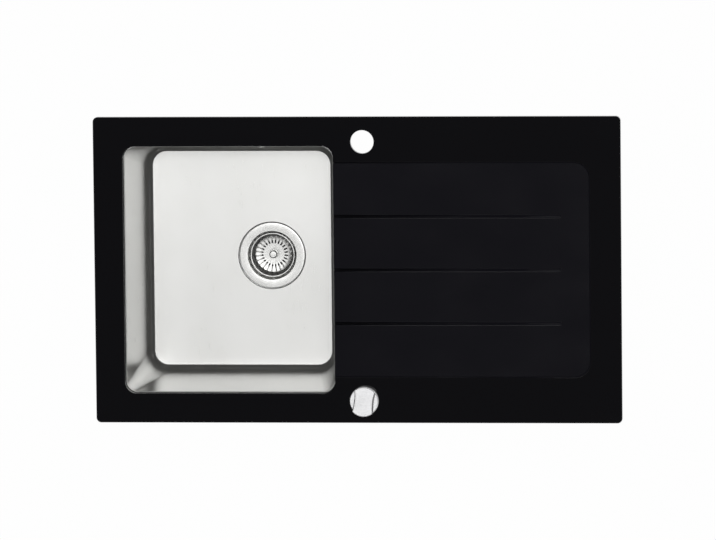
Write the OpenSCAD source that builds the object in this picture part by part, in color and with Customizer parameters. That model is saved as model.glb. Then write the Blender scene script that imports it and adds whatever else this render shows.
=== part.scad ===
// Inset kitchen sink: black glass top with a grooved drainer, a steel bowl bonded under it,
// a basket waste opened by a turning knob through a cable, an overflow and eight edge clamps.
// Millimetres. Origin in the middle of the glass, at the height of the worktop's surface.
// +X runs to the drainer, +Y to the tap hole at the back, +Z up.

/* [Glass top] */
// Length of the glass, left to right
glass_l = 860; // [840:5:1000]
// Depth of the glass, front to back
glass_d = 500; // [490:5:560]
// Thickness of the glass
glass_t = 10; // [8:1:12]
// Corner radius of the glass in plan
glass_corner_r = 8; // [4:1:16]
// Chamfer ground along the upper edges
glass_chamfer = 0.8; // [0.4:0.1:1.2]
// Width of glass that overhangs the worktop cut-out
overhang = 10; // [10:1:14]
// Thickness of the foam seal under the edge
seal_t = 2; // [2:0.5:4]
// Distance from the glass edge to the seal
seal_inset = 2; // [1:0.5:4]

/* [Drainer] */
// Depth of the drainer recess
drain_t = 1.5; // [1:0.1:2]
// Distance from the right edge of the glass to the recess
drain_margin_x = 51; // [40:1:80]
// Distance from the front and back edges to the recess
drain_margin_y = 75; // [70:1:100]
// Corner radius of the recess in plan
drain_corner_r = 26; // [15:1:40]
// Number of drainer grooves
groove_count = 3; // [1:2:3]
// Distance between grooves
groove_pitch = 87.5; // [60:0.5:95]
// Width of a groove
groove_w = 6; // [4:0.5:8]
// Depth of a groove below the recess
groove_t = 1.2; // [0.8:0.1:1.6]
// Distance from the recess's right end to the grooves
groove_end_gap = 46; // [35:1:90]

/* [Bowl] */
// Length of the bowl opening, left to right
bowl_l = 340; // [320:5:345]
// Distance from the front and back edges of the glass to the opening
bowl_margin_y = 50; // [47.5:0.5:60]
// Distance from the left edge of the glass to the opening
bowl_margin_x = 50; // [46:1:60]
// Depth of the bowl floor below the worktop
bowl_depth = 189; // [170:1:210]
// Plan corner radius at the opening
bowl_corner_r = 19; // [15:1:30]
// Plan corner radius of the flat floor
floor_corner_r = 20; // [15:1:30]
// Radius between wall and floor
foot_r = 14; // [10:1:18]
// Draft of each wall over its height
wall_draft = 12; // [6:1:16]
// Thickness of the bowl's steel sheet
sheet_t = 1; // [0.8:0.1:1.2]
// Width of the flange bonded under the glass
flange_w = 15; // [12:1:17]
// Width of the steel rim that shows inside the glass
rim_show = 2; // [1:0.5:3]
// Thickness of the damping pad under the floor
pad_t = 2; // [1:0.5:3]
// Length of the damping pad
pad_l = 110; // [80:5:115]
// Width of the damping pad
pad_w = 300; // [200:10:320]

/* [Clamps] */
// Thickness of the worktop that the clamps grip
worktop_t = 40; // [38:1:44]
// Radius of the clamp stud
stud_r = 3; // [2.5:0.5:4]
// Length of the clamp stud under the glass
stud_l = 64; // [60:1:75]
// Width of the clamp strip and its glued foot
clamp_w = 16; // [14:1:16]
// Thickness of the clamp strip and its glued foot
clamp_t = 2; // [1.5:0.5:2]
// Reach of the clamp strip from its stud
clamp_reach = 30; // [26:1:36]
// Distance from the glass edge to the studs
stud_inset = 22; // [22:0.5:22.5]

/* [Tap hole] */
// Radius of the tap hole
tap_r = 19; // [17:0.5:20]
// Distance from the bowl opening to the tap hole's and the knob's centres
service_gap = 50; // [42:1:60]
// Distance from the back edge to the tap hole's centre
tap_margin = 41; // [38:1:44]

/* [Waste] */
// Distance of the waste from the bowl's middle, to the right
waste_dx = 49; // [30:1:55]
// Distance of the waste from the bowl's middle, to the back
waste_dy = 4; // [0:1:10]
// Outer radius of the strainer flange
strainer_r = 54; // [53:0.5:56]
// Thickness of the strainer's steel
strainer_t = 1.2; // [1:0.1:1.5]
// Inner radius of the strainer's cup at the top
cup_r = 40; // [39:0.5:40.5]
// Depth of the strainer's cup
cup_t = 39; // [36:1:42]
// Radius of the outlet in the cup's floor
outlet_r = 19; // [18:0.5:20]
// Radius of the basket's rim
basket_r = 36.8; // [35.5:0.1:37.1]
// Number of slots in the basket
slot_count = 24; // [18:1:24]
// Width of a basket slot
slot_w = 2.6; // [2:0.1:2.8]
// Height of the basket's lifting button
button_h = 15; // [12:1:18]
// Radius of the basket's lifting button
button_r = 6.5; // [5.5:0.5:8]
// Radius of the outlet's outer thread
spigot_r = 23.9; // [23:0.1:24.5]
// Length of the outlet's thread
spigot_l = 22; // [20:1:30]
// Radius of the lift pin
pin_r = 2.8; // [2.5:0.1:3]
// Height that the basket lifts
lift = 8; // [6:0.5:8]

/* [Control] */
// Radius of the knob
knob_r = 23.75; // [22:0.25:25]
// Height of the knob
knob_h = 13.7; // [12:0.1:18]
// Height of the knob's round base
knob_base_h = 3.7; // [3:0.1:6]
// Width of the knob's grip at its waist
grip_w = 29; // [24:1:34]
// Turn of the grip at rest, clockwise
grip_turn = 7; // [0:1:15]
// Distance from the front edge to the knob's centre
knob_margin = 36; // [36:0.5:38]
// Radius of the control's hole in the glass
control_hole_r = 17.5; // [17:0.5:18.5]
// Pitch radius of the pinion
pinion_r = 6.4; // [6:0.1:7]
// Teeth of the pinion
pinion_teeth = 16; // [14:1:18]
// Height of the pinion and the rack
gear_h = 8; // [6:1:9]
// Radius of the cable's sheath
sheath_r = 2.5; // [2:0.1:2.6]
// Radius of the cable's inner wire
wire_r = 0.75; // [0.6:0.05:0.9]

/* [Overflow] */
// Depth of the overflow below the worktop
overflow_z = 55; // [50:1:65]
// Radius of the overflow hole
overflow_r = 12; // [10:0.5:13]
// Radius of the overflow's cover
cover_r = 17; // [16:0.5:19]
// Outer radius of the overflow hose, over its ribs
hose_r = 11; // [10:0.5:12]
// Wall of the overflow hose between its ribs
hose_wall = 1.2; // [1:0.1:1.5]
// Height of the hose's ribs
rib_h = 1.2; // [0.8:0.1:1.5]
// Distance between the hose's ribs
rib_pitch = 4; // [3.5:0.1:6]
// Bend radius of the overflow hose
hose_bend = 50; // [45:1:55]

/* [Hidden] */
$fn = 96;

// Play between moving parts, and the gap where one body rests over another
fit = 0.1;
gap = 0.3;
// Length by which a cutter runs past the face that it opens
over = 1;

// Glass: heights, and the width of seal that shows inside the worktop's cut-out
seal_lap = 2;
top_z = seal_t + glass_t;
drain_z = top_z - drain_t;

// Bowl: centre, draft angle of the walls, floor and flange
bowl_x = -glass_l / 2 + bowl_margin_x + bowl_l / 2;
bowl_w = glass_d - 2 * bowl_margin_y;
bowl_right = bowl_x + bowl_l / 2;
service_x = bowl_right + service_gap;
foot_dy = wall_draft + foot_r;
foot_dz = bowl_depth - foot_r;
wall_tilt = acos(foot_r / norm([foot_dy, foot_dz])) - atan2(foot_dz, foot_dy);
floor_z = -bowl_depth;
bond_t = seal_t - sheet_t;
hull_fn = 48;

// Waste: heights of the stack, from the bowl's recess down
waste_x = bowl_x + waste_dx;
waste_y = waste_dy;
waste_recess_t = 3;
waste_recess_r = strainer_r + 1.5;
gasket_t = 1;
seat_z = floor_z - waste_recess_t;
under_z = seat_z - sheet_t;
strainer_z = seat_z + gasket_t;
cup_z = strainer_z - cup_t;
cup_taper = 6;
cup_floor_r = cup_r - cup_taper;
lip = 0.8;
spider_arm_w = 3;
bowl_hole_r = cup_r + 4;
gasket_proud = 0.5;
body_gasket_t = 3;
body_z = under_z - body_gasket_t;
body_rim_r = strainer_r - 2;
body_rim_t = 4;
body_r = cup_r + 5;
body_wall = 3;
body_rib_t = 3;
body_rib_h = 6;
hub_r = 9;
hub_z = cup_z - strainer_t;
hub_l = 14;
screw_r = 6;
screw_head_r = 8;
screw_head_t = 2;
screw_socket_r = pin_r + 1.6;
pin_bore_r = pin_r + fit;
body_wall_l = 9;
shoulder_z = hub_z - body_wall_l;
chamber_r = spigot_r - 2;
chamber_wall = 4;
cone_l = 12;
chamber_z = shoulder_z - cone_l;
chamber_l = 26;
spigot_z = chamber_z - chamber_l;
spigot_wall = 3.9;
spigot_step = 2;

// Basket: floor of the basket, slots and the plate that carries its seal
basket_t = 0.8;
basket_gap = 10;
basket_drop = 7;
basket_z = cup_z + basket_gap;
basket_rim_z = strainer_z - basket_drop;
bead_r = 0.7;
slot_out_r = basket_r - 6.2;
slot_in_r = slot_out_r - 12;
basket_flat_r = slot_out_r - 6.6;
basket_flank_r = slot_out_r + 0.5;
basket_bend = 0.5;
basket_bend_w = 3;
basket_flank_h = 2.4;
slot_h = basket_flank_h + 4;
seal_lap_w = 3;
seal_r = outlet_r + seal_lap_w;
seal_in_r = outlet_r - 5;
seal_h = 2.2;
seal_plate_t = 1.5;
seal_plate_r = seal_r - 1.5;
seal_z = cup_z + gap;
seal_plate_z = seal_z + seal_h;
stem_r = pin_r - 0.3;
stem_l = 10;
stem_z = hub_z - stem_l;

// Crank: half swing, arm under the pin, shaft axis and outer lever
pin_top_z = stem_z - gap;
pin_reach = 26;
pin_foot_z = hub_z - pin_reach;
pin_foot_r = pin_r + 0.7;
pin_foot_t = 2.5;
crank_arm = 12;
swing = asin(lift / 2 / crank_arm);
peg_r = 2;
peg_cap = 0.5;
shaft_r = 3;
shaft_seal_w = 2;
shaft_seal_gap = 3;
crank_hub_r = shaft_r + 2;
lever_hub_r = shaft_r + 3;
crank_web_h = 1.6 * peg_r;
shaft_dx = -crank_arm * cos(swing);
shaft_z = pin_foot_z - gap - peg_r + crank_arm * sin(swing);
travel = pinion_r * PI / 2;
lever_l = travel / 2 / sin(swing);
boss_r = 7;
boss_end = 34;
arm_y = -4;
arm_t = 4;
lever_t = 3.7;
lever_y = -(boss_end + gap);
lever_gap = 2.5;
fork_y = lever_y - lever_t - lever_gap;
fork_t = 4;
fork_dx = shaft_dx - travel / 2;
fork_z = shaft_z - lever_l;
fork_play = 0.12;
fork_half = 6;
fork_tail = 6;
wire_y = fork_y - fork_t / 2;

// Cable: brackets, ferrules and the route between them
bracket_dx = 20;
bracket_t = 4;
bracket_h = 22;
bracket_w = 38;
ferrule_head_r = sheath_r + 1.1;
ferrule_bore_r = wire_r + 0.25;
ferrule_l = 20;
ferrule_tail = 3;
clip_t = 1;
clip_half = sheath_r + 0.5;
clip_r = sheath_r + 2;

// Control: heights under the glass, box around the knob's axis, rack and pinion
knob_x = service_x;
knob_y = -glass_d / 2 + knob_margin;
neck_r = control_hole_r - 1;
box_flange_r = neck_r + 5.5;
control_gasket_t = 1;
box_top_z = seal_t - control_gasket_t;
box_roof = 3;
box_h = 25;
box_z = box_top_z - box_h;
box_left = 14;
box_front = 20;
box_back = 24;
box_wall = 3;
lid_t = 3;
lid_boss_h = 3;
post_r = 3.5;
post_h = 5;
lid_screw_r = 1.45;
lid_hole_r = lid_screw_r + 0.15;
lid_head_r = 2.7;
lid_head_t = 1.6;
rosette_washer_t = 0.5;
rosette_r = knob_r - 0.25;
rosette_lap = 1.25;
rosette_edge = 0.6;
rosette_h = 3.5;
rosette_z = top_z + rosette_washer_t;
knob_z = rosette_z + rosette_h + gap;
knob_edge = 0.8;
grip_arc_r = 82;
spindle_r = 5;
spindle_low_r = 3;
spindle_step = 3;
spindle_tip = 2;
spindle_cap = 5;
spindle_step_z = box_top_z - box_roof - spindle_step;
gear_rise = 6;
gear_z = box_z + gear_rise;
tooth_pitch = 2 * PI * pinion_r / pinion_teeth;
tooth_add = tooth_pitch / PI * 0.85;
tooth_ded = tooth_pitch / PI * 1.1;
tooth_half = 0.18 * tooth_pitch;
tooth_foot = 1.35;
tooth_tip = 0.5;
tooth_root = 0.3;
rack_back_w = 5.7;
rack_x = pinion_r + tooth_ded;
rack_out = rack_x + rack_back_w;
box_side = 4;
box_right = rack_out + 2 * fit + box_side;
rack_front = -5;
rack_back = 15;
rack_wire_x = rack_x + rack_back_w / 2;
rack_wire_z = gear_z + gear_h / 2;
wire_reach = 19;

// Overflow: tilted frame on the back wall, and the hose in the plane of the waste
overflow_y = bowl_w / 2 - overflow_z * tan(wall_tilt);
cover_t = 1;
cover_bevel = 0.6;
cover_hole_r = 0.22 * overflow_r;
cover_z = gap / 3;
cover_screw_r = 2;
cover_head_r = 4;
cover_head_t = 1.2;
slot_depth = 0.7;
nut_bar_w = 2;
elbow_r = 10;
elbow_wall = 2;
elbow_flange_t = 3;
elbow_gasket_t = 2;
elbow_flange_r = cover_r + 3;
hose_root_r = hose_r - rib_h;
hose_in_r = hose_root_r - hose_wall;
hose_clip_t = 1.6;
hose_clip_w = 8;
hose_lug_w = 8;
hose_lug_h = 5;
hose_clip_gap = 4;
elbow_back_z = -sheet_t - fit - elbow_gasket_t - elbow_flange_t;
spigot_in = -elbow_back_z + hose_root_r + hose_clip_t + 2 * gap;
rib_w = 1.8;
barb_r = hose_in_r - fit;
barb_bore_r = barb_r - elbow_wall;
barb_l = 16;
port_rise = 15;
port_z = hub_z + port_rise;
port_l = 27;
port_end = body_r + body_wall + port_l;
hose_top = elbow_r + elbow_wall;

// Hose axis: down the tilted wall, then a bend that ends level with the port
hose_drop = (-overflow_z - spigot_in * sin(wall_tilt) - port_z - hose_bend * (1 - sin(wall_tilt))) / cos(wall_tilt);
hose_flat_y = overflow_y + spigot_in * cos(wall_tilt) - hose_drop * sin(wall_tilt) - hose_bend * cos(wall_tilt);
hose_bare = 10;
hose_end = body_r + body_wall + hose_bare;
hose_bend_angle = 90 - wall_tilt;

// Clamps: strip and nut, and the eight studs by x, y and the side to which the strip swings out
leg_z = -worktop_t - 2 * clamp_t;
nut_h = 2 * stud_r;
nut_r = 1.9 * stud_r;
row_y = glass_d / 2 - stud_inset;
row_x = glass_l / 2 - stud_inset;
stud_left = -0.38 * glass_l;
stud_middle = -0.12 * glass_l;
stud_right = 0.33 * glass_l;
STUDS = [
  [stud_left, row_y, 90], [stud_middle, row_y, 90], [stud_right, row_y, 90],
  [stud_left, -row_y, -90], [stud_middle, -row_y, -90], [stud_right, -row_y, -90],
  [-row_x, 0, 180], [row_x, 0, 0]
];

// Route of the cable's sheath between its two ferrules, along the outside of the bowl
cable_start = [knob_x + rack_wire_x, knob_y + box_back + fit + ferrule_l, rack_wire_z];
cable_end = [waste_x + bracket_dx + bracket_t + fit + ferrule_l, waste_y + wire_y, fork_z];
cable_straight = 16;
function beside_bowl(dx, share, z) =
  [bowl_right + dx, cable_start[1] + cable_straight + share * (cable_end[1] - cable_start[1] - cable_straight), z];
CABLE_ROUTE = [
  cable_start, cable_start + [0, cable_straight, 0],
  beside_bowl(60, 0.25, 0.12 * floor_z), beside_bowl(56, 0.5, 0.32 * floor_z),
  beside_bowl(46, 0.7, 0.64 * floor_z), beside_bowl(36, 0.83, floor_z + 9),
  beside_bowl(18, 0.93, floor_z - 46), beside_bowl(-15, 0.99, floor_z - 73),
  cable_end + [20, 0, 0], cable_end
];
cable_steps = 7;
cable_sides = 10;

// Rounded rectangle centred on the origin
module rounded_rect(l, w, r) {
  square([l - 2 * r, w], center = true);
  square([l, w - 2 * r], center = true);
  for (sx = [-1, 1], sy = [-1, 1]) {
    translate([sx * (l / 2 - r), sy * (w / 2 - r)]) circle(r = r);
  }
}

// Flat band that follows a rounded rectangle on its inner side
module band(l, w, r, band_w, t) {
  linear_extrude(t) {
    difference() {
      rounded_rect(l, w, r);
      rounded_rect(l - 2 * band_w, w - 2 * band_w, max(r - band_w, 1));
    }
  }
}

// Sweeps a profile, drawn with X outwards and Y up, around a rounded rectangle
module sweep_around(l, w, r) {
  for (k = [0 : 3]) {
    out = k % 2 == 0 ? l : w;
    along = k % 2 == 0 ? w : l;
    rotate([0, 0, 90 * k]) {
      translate([out / 2, 0, 0])
        rotate([90, 0, 0])
          linear_extrude(along - 2 * r, center = true) children();
      translate([out / 2 - r, along / 2 - r, 0])
        rotate_extrude(angle = 90) translate([r, 0]) children();
    }
  }
}

// Triangle that cuts a 45 degree bevel of size c; side 1 bevels a rim, side -1 a hole
module bevel_cutter(c, side) {
  polygon([[-side * (c + over), over], [side * over, -c - over], [side * over, over]]);
}

module tube(r_out, r_in, h) {
  difference() {
    cylinder(r = r_out, h = h);
    translate([0, 0, -over]) cylinder(r = r_in, h = h + 2 * over);
  }
}

module at_waste() {
  translate([waste_x, waste_y, 0]) children();
}

module at_knob() {
  translate([knob_x, knob_y, 0]) children();
}

// Frame on the inner face of the back wall: local Z points into the bowl, local Y up the wall
module at_overflow() {
  translate([waste_x, overflow_y, -overflow_z]) rotate([90 - wall_tilt, 0, 0]) children();
}

// Cylinder along Y from y0 to y1, and along X from x0 to x1
module rod_y(r, y0, y1) {
  translate([0, y1, 0]) rotate([90, 0, 0]) cylinder(r = r, h = y1 - y0);
}

module rod_x(r, x0, x1) {
  translate([x0, 0, 0]) rotate([0, 90, 0]) cylinder(r = r, h = x1 - x0);
}

// Glass sheet with its cut-out, holes, drainer recess and grooves
module drainer_cut() {
  drain_right = glass_l / 2 - drain_margin_x;
  drain_left = bowl_right - 2 * drain_corner_r - rim_show;
  drain_l = drain_right - drain_left;
  drain_w = glass_d - 2 * drain_margin_y;
  groove_r = (pow(groove_w / 2, 2) + pow(groove_t, 2)) / 2 / groove_t;
  groove_z = drain_z - groove_t + groove_r;
  groove_right = drain_right - groove_end_gap - groove_w / 2;
  translate([(drain_left + drain_right) / 2, 0, 0]) {
    translate([0, 0, drain_z]) linear_extrude(drain_t + over) rounded_rect(drain_l, drain_w, drain_corner_r);
    translate([0, 0, top_z]) sweep_around(drain_l, drain_w, drain_corner_r) bevel_cutter(drain_t, -1);
  }
  for (k = [0 : groove_count - 1]) {
    translate([0, (k - (groove_count - 1) / 2) * groove_pitch, groove_z]) {
      rod_x(groove_r, drain_left, groove_right);
      translate([groove_right, 0, 0]) sphere(r = groove_r);
    }
  }
}

module glass_top() {
  cut_l = bowl_l + 2 * rim_show;
  cut_w = bowl_w + 2 * rim_show;
  color([0.04, 0.04, 0.05]) difference() {
    translate([0, 0, seal_t]) linear_extrude(glass_t) difference() {
      rounded_rect(glass_l, glass_d, glass_corner_r);
      translate([bowl_x, 0]) rounded_rect(cut_l, cut_w, bowl_corner_r);
      translate([service_x, glass_d / 2 - tap_margin]) circle(r = tap_r);
      translate([knob_x, knob_y]) circle(r = control_hole_r);
    }
    translate([0, 0, top_z]) sweep_around(glass_l, glass_d, glass_corner_r) bevel_cutter(glass_chamfer, 1);
    translate([bowl_x, 0, top_z]) sweep_around(cut_l, cut_w, bowl_corner_r) bevel_cutter(glass_chamfer, -1);
    drainer_cut();
  }
}

module rim_seal() {
  seal_w = overhang - seal_inset + seal_lap;
  color([0.1, 0.1, 0.1]) {
    band(glass_l - 2 * seal_inset, glass_d - 2 * seal_inset, glass_corner_r - seal_inset, seal_w, seal_t);
  }
}

// Pressed bowl: a drafted box with round corners, grown by the sheet for its outer skin
module bowl_form(grow, top_h) {
  ring_x = bowl_l / 2 - wall_draft - foot_r - floor_corner_r;
  ring_y = bowl_w / 2 - wall_draft - foot_r - floor_corner_r;
  hull() {
    linear_extrude(top_h) rounded_rect(bowl_l + 2 * grow, bowl_w + 2 * grow, bowl_corner_r + grow, $fn = hull_fn);
    for (sx = [-1, 1], sy = [-1, 1]) {
      translate([sx * ring_x, sy * ring_y, floor_z + foot_r]) {
        rotate_extrude($fn = hull_fn) translate([floor_corner_r, 0]) circle(r = foot_r + grow, $fn = hull_fn);
      }
    }
  }
}

module bowl() {
  flange_l = bowl_l + 2 * (rim_show + flange_w);
  flange_d = bowl_w + 2 * (rim_show + flange_w);
  color([0.8, 0.8, 0.78]) difference() {
    union() {
      translate([bowl_x, 0, 0]) {
        linear_extrude(sheet_t) rounded_rect(flange_l, flange_d, bowl_corner_r + flange_w);
        bowl_form(sheet_t, sheet_t / 2);
      }
      at_waste() translate([0, 0, under_z]) cylinder(r = waste_recess_r + sheet_t, h = waste_recess_t + sheet_t / 2);
    }
    translate([bowl_x, 0, 0]) bowl_form(0, sheet_t + over);
    at_waste() {
      translate([0, 0, seat_z]) cylinder(r = waste_recess_r, h = waste_recess_t + over);
      translate([0, 0, under_z - over]) cylinder(r = bowl_hole_r, h = waste_recess_t + 2 * over);
    }
    at_overflow() translate([0, 0, -2 * sheet_t]) cylinder(r = overflow_r, h = 4 * sheet_t);
  }
}

module bowl_bond() {
  bond_l = bowl_l + 2 * (rim_show + flange_w);
  bond_w = bowl_w + 2 * (rim_show + flange_w);
  color([0.15, 0.15, 0.16]) translate([bowl_x, 0, sheet_t]) {
    band(bond_l, bond_w, bowl_corner_r + flange_w, flange_w, bond_t);
  }
}

module sound_pad() {
  pad_x = (bowl_x - bowl_l / 2 + wall_draft + foot_r + waste_x - waste_recess_r - sheet_t) / 2;
  color([0.12, 0.12, 0.12]) translate([pad_x, 0, floor_z - sheet_t - pad_t]) {
    linear_extrude(pad_t) rounded_rect(pad_l, pad_w, clamp_w / 2);
  }
}

// Clamps: a glued foot with a stud, a nut, and a strip that swings out under the worktop
module clamp_studs() {
  color([0.7, 0.7, 0.72]) for (s = STUDS) {
    translate([s[0], s[1], 0]) {
      translate([0, 0, seal_t - clamp_t]) rotate([0, 0, s[2]]) linear_extrude(clamp_t) {
        rounded_rect(clamp_w, 2 * clamp_w, clamp_t);
      }
      translate([0, 0, seal_t - stud_l]) cylinder(r = stud_r, h = stud_l - clamp_t / 2);
    }
  }
}

module clamp_nuts() {
  color([0.75, 0.75, 0.76]) for (s = STUDS) {
    translate([s[0], s[1], leg_z - gap / 2 - nut_h]) difference() {
      cylinder(r = nut_r, h = nut_h, $fn = 6);
      translate([0, 0, -over]) cylinder(r = stud_r, h = nut_h + 2 * over);
    }
  }
}

// Strip parked along the edge of the cut-out, with two teeth turned up at its end
module clamp_leg(k) {
  tooth_w = clamp_w / 4;
  color([0.72, 0.72, 0.74]) translate([STUDS[k][0], STUDS[k][1], leg_z]) rotate([0, 0, STUDS[k][2] - 90]) {
    difference() {
      union() {
        cylinder(r = clamp_w / 2, h = clamp_t);
        translate([0, -clamp_w / 2, 0]) cube([clamp_reach, clamp_w, clamp_t]);
        for (side = [-1, 1]) {
          translate([clamp_reach - clamp_t, side * (clamp_w - tooth_w) / 2 - tooth_w / 2, 0]) {
            cube([clamp_t, tooth_w, 2 * clamp_t - gap]);
          }
        }
      }
      translate([0, 0, -over]) cylinder(r = stud_r + fit, h = clamp_t + 2 * over);
    }
  }
}

// Strainer seat under the basket
module flange_gasket() {
  color([0.08, 0.08, 0.08]) at_waste() translate([0, 0, seat_z]) {
    tube(strainer_r + gasket_proud, bowl_hole_r, gasket_t);
  }
}

module waste_flange() {
  color([0.82, 0.82, 0.8]) at_waste() {
    rotate_extrude() polygon([
      [strainer_r, strainer_z], [strainer_r, strainer_z + strainer_t - lip / 2],
      [strainer_r - 2 * lip, strainer_z + strainer_t], [cup_r + lip, strainer_z + strainer_t],
      [cup_r, strainer_z + strainer_t - lip], [cup_floor_r + lip, cup_z + lip],
      [cup_floor_r - lip, cup_z], [outlet_r, cup_z], [outlet_r, hub_z],
      [cup_floor_r, hub_z], [cup_floor_r + lip + strainer_t, cup_z + lip],
      [cup_r + strainer_t, strainer_z - lip], [cup_r + strainer_t + lip, strainer_z]
    ]);
    translate([0, 0, hub_z]) difference() {
      union() {
        cylinder(r = hub_r, h = strainer_t);
        for (a = [45 : 90 : 315]) {
          rotate([0, 0, a]) translate([hub_r - over, -spider_arm_w / 2, 0]) {
            cube([outlet_r - hub_r + 2 * over, spider_arm_w, strainer_t]);
          }
        }
      }
      translate([0, 0, -over]) cylinder(r = screw_r + fit, h = strainer_t + 2 * over);
    }
  }
}

module waste_screw() {
  color([0.78, 0.78, 0.78]) at_waste() difference() {
    union() {
      translate([0, 0, cup_z]) cylinder(r = screw_head_r, h = screw_head_t - gap / 2);
      translate([0, 0, hub_z - hub_l + over]) cylinder(r = screw_r, h = hub_l + strainer_t);
    }
    translate([0, 0, hub_z - hub_l - over]) cylinder(r = pin_bore_r, h = hub_l + 4 * over + screw_head_t);
    translate([0, 0, cup_z + screw_head_t / 2]) cylinder(r = screw_socket_r, h = screw_head_t, $fn = 6);
  }
}

module body_gasket() {
  color([0.1, 0.1, 0.1]) at_waste() translate([0, 0, body_z]) tube(body_rim_r, bowl_hole_r, body_gasket_t);
}

// Body under the bowl: rim, wall, cone, crank chamber and threaded outlet
module body_profile(grow_up) {
  polygon([
    [0, body_z + grow_up], [body_r, body_z + grow_up], [body_r, shoulder_z], [chamber_r, chamber_z],
    [chamber_r, spigot_z + spigot_step], [spigot_r - spigot_wall, spigot_z],
    [spigot_r - spigot_wall, spigot_z - spigot_l - grow_up], [0, spigot_z - spigot_l - grow_up]
  ]);
}

module body_skin() {
  polygon([
    [0, body_z], [body_rim_r, body_z], [body_rim_r, body_z - body_rim_t],
    [body_r + body_wall, body_z - body_rim_t], [body_r + body_wall, shoulder_z],
    [chamber_r + chamber_wall, chamber_z - spigot_step], [chamber_r + chamber_wall, spigot_z],
    [spigot_r, spigot_z], [spigot_r, spigot_z - spigot_l], [0, spigot_z - spigot_l]
  ]);
}

module waste_body() {
  groove_y = -boss_end + shaft_seal_gap;
  color([0.2, 0.2, 0.21]) at_waste() {
    difference() {
      union() {
        rotate_extrude() body_skin();
        translate([0, 0, port_z]) rod_y(barb_r, body_r, port_end);
        translate([shaft_dx, 0, shaft_z]) rod_y(boss_r, -boss_end, -chamber_r + chamber_wall / 2);
        translate([bracket_dx, wire_y - boss_r, fork_z - boss_r]) cube([bracket_t, bracket_w, bracket_h]);
      }
      rotate_extrude() body_profile(over);
      translate([0, 0, port_z]) rod_y(barb_bore_r, body_r - over, port_end + over);
      translate([shaft_dx, 0, shaft_z]) rod_y(shaft_r + fit, -boss_end - over, -chamber_r / 2);
      translate([shaft_dx, 0, shaft_z]) rod_y(shaft_r + shaft_seal_w, groove_y, groove_y + 1.25 * shaft_seal_w);
      translate([0, wire_y, fork_z]) rod_x(sheath_r + fit, bracket_dx - over, bracket_dx + bracket_t + over);
    }
    difference() {
      union() {
        translate([0, 0, hub_z - hub_l]) cylinder(r = hub_r, h = hub_l);
        for (a = [0 : 90 : 270]) {
          rotate([0, 0, a]) translate([hub_r - over, -body_rib_t / 2, shoulder_z - over]) {
            cube([body_r - hub_r + 1.5 * over, body_rib_t, body_rib_h]);
          }
        }
      }
      translate([0, 0, hub_z - hub_l - over]) cylinder(r = screw_r, h = hub_l + 2 * over);
    }
  }
}

// Basket: pressed steel cup with radial slots that run up its flank
module basket() {
  color([0.85, 0.85, 0.83]) at_waste() difference() {
    rotate_extrude() {
      polygon([
        [0, basket_z], [basket_flat_r, basket_z], [basket_flat_r + basket_bend_w, basket_z + basket_bend],
        [basket_flank_r, basket_z + basket_flank_h], [basket_r - bead_r, basket_rim_z - 0.6 * basket_t],
        [basket_r - bead_r, basket_rim_z + 0.6 * basket_t],
        [basket_flank_r - basket_t, basket_z + basket_flank_h + 0.6 * basket_t],
        [basket_flat_r + basket_bend_w - 0.3 * basket_t, basket_z + basket_bend + 0.95 * basket_t],
        [basket_flat_r - 0.3 * basket_t, basket_z + basket_t], [0, basket_z + basket_t]
      ]);
      translate([basket_r - bead_r, basket_rim_z]) circle(r = bead_r, $fn = 24);
    }
    for (k = [0 : slot_count - 1]) {
      rotate([0, 0, 360 / slot_count * (k + 0.5)]) translate([0, 0, basket_z - over]) {
        translate([slot_in_r, -slot_w / 2, 0]) cube([slot_out_r - slot_in_r, slot_w, slot_h]);
        translate([slot_in_r, 0, 0]) cylinder(r = slot_w / 2, h = slot_h, $fn = 24);
      }
    }
    translate([0, 0, basket_z - over]) cylinder(r = stem_r, h = 3 * over);
  }
}

module basket_button() {
  waist_r = 0.75 * button_r;
  foot_h = 0.1 * button_h;
  neck_h = 0.27 * button_h;
  crown_h = 0.17 * button_h;
  crown_edge = 0.07 * button_h;
  color([0.85, 0.85, 0.85]) at_waste() translate([0, 0, basket_z + basket_t]) {
    rotate_extrude() polygon([
      [0, 0], [button_r, 0], [button_r, foot_h], [waist_r, neck_h], [waist_r, button_h - 2 * crown_h],
      [button_r, button_h - crown_h], [button_r, button_h - crown_edge],
      [button_r - crown_edge, button_h], [0, button_h]
    ]);
  }
}

module basket_stem() {
  color([0.15, 0.15, 0.16]) at_waste() {
    translate([0, 0, stem_z]) cylinder(r = stem_r, h = basket_z + basket_t - stem_z);
    translate([0, 0, seal_plate_z]) cylinder(r = seal_plate_r, h = seal_plate_t);
    translate([0, 0, seal_plate_z + seal_plate_t / 2]) {
      cylinder(r = 2 * stem_r, h = basket_z - seal_plate_z - seal_plate_t / 2);
    }
  }
}

module basket_seal() {
  color([0.06, 0.06, 0.06]) at_waste() translate([0, 0, seal_z]) tube(seal_r, seal_in_r, seal_h);
}

// Lift pin and the crank that raises it
module lift_pin() {
  color([0.8, 0.8, 0.8]) at_waste() {
    translate([0, 0, pin_foot_z]) {
      cylinder(r = pin_foot_r, h = pin_foot_t);
      cylinder(r = pin_r, h = pin_top_z - pin_foot_z);
    }
  }
}

module crank_shaft() {
  color([0.7, 0.66, 0.5]) at_waste() translate([shaft_dx, 0, shaft_z]) {
    rod_y(shaft_r, lever_y - lever_t - gap, arm_y);
    rod_y(crank_hub_r, arm_y - arm_t, arm_y);
    rotate([0, swing, 0]) {
      translate([0, arm_y - arm_t, -crank_web_h / 2]) cube([crank_arm, arm_t, crank_web_h]);
      translate([crank_arm, 0, 0]) rod_y(peg_r, arm_y - arm_t, -arm_y);
    }
  }
}

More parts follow.
